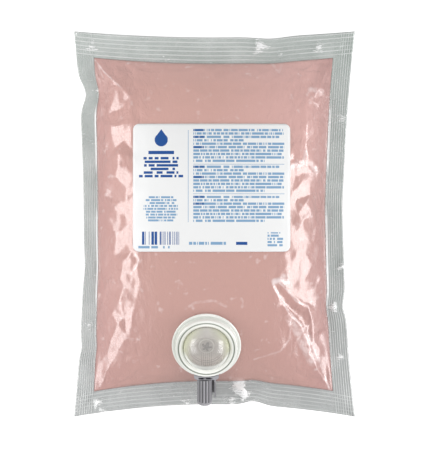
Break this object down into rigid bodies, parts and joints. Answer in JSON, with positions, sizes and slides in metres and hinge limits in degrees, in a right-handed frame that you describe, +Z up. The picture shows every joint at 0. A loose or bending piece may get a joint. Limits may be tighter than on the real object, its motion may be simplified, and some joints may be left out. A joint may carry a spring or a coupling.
{
  "type": "hand soap refill pack",
  "caption": "Clear four-side-sealed film pouch of pink lotion soap with a plain printed label, a white dome pump on its front and a grey ribbed cap on the pump's nozzle.",
  "frame": {"origin": "centre of the pack's overall box, at the surface that its back lies on", "axes": "+X to the right of the label, +Y from the nozzle to the top seal, +Z up out of the front web that carries the pump"},
  "size_m": [0.1854, 0.2548, 0.0526],
  "materials": {
    "clear_film": "clear film",
    "lotion_soap": "opaque lotion",
    "label_film": "printed film",
    "white_plastic": "moulded white",
    "silicone": "translucent silicone",
    "dome_elastomer": "translucent elastomer",
    "grey_plastic": "moulded grey",
    "cap_plastic": "moulded grey"
  },
  "bodies": {
    "pack": {"film_pouch": "clear_film", "soap": "lotion_soap", "label": "label_film", "spout_fitment": "white_plastic", "pump_body": "white_plastic", "inlet_valve": "silicone", "collar_ring": "white_plastic", "nozzle": "grey_plastic", "outlet_valve": "silicone"},
    "dome": {"pump_dome": "dome_elastomer"},
    "cap": {"nozzle_cap": "cap_plastic"}
  },
  "joints": [
    {"name": "dome_press", "type": "slide", "parent": "pack", "child": "dome", "axis": [0, 0.4067, -0.9135], "range_m": [0, 0.006], "stiffness_N_per_m": 1500, "deforming": ["pump_dome"]},
    {"name": "cap_pull", "type": "slide", "parent": "pack", "child": "cap", "axis": [0, -0.9135, -0.4067], "range_m": [0, 0.018]}
  ]
}
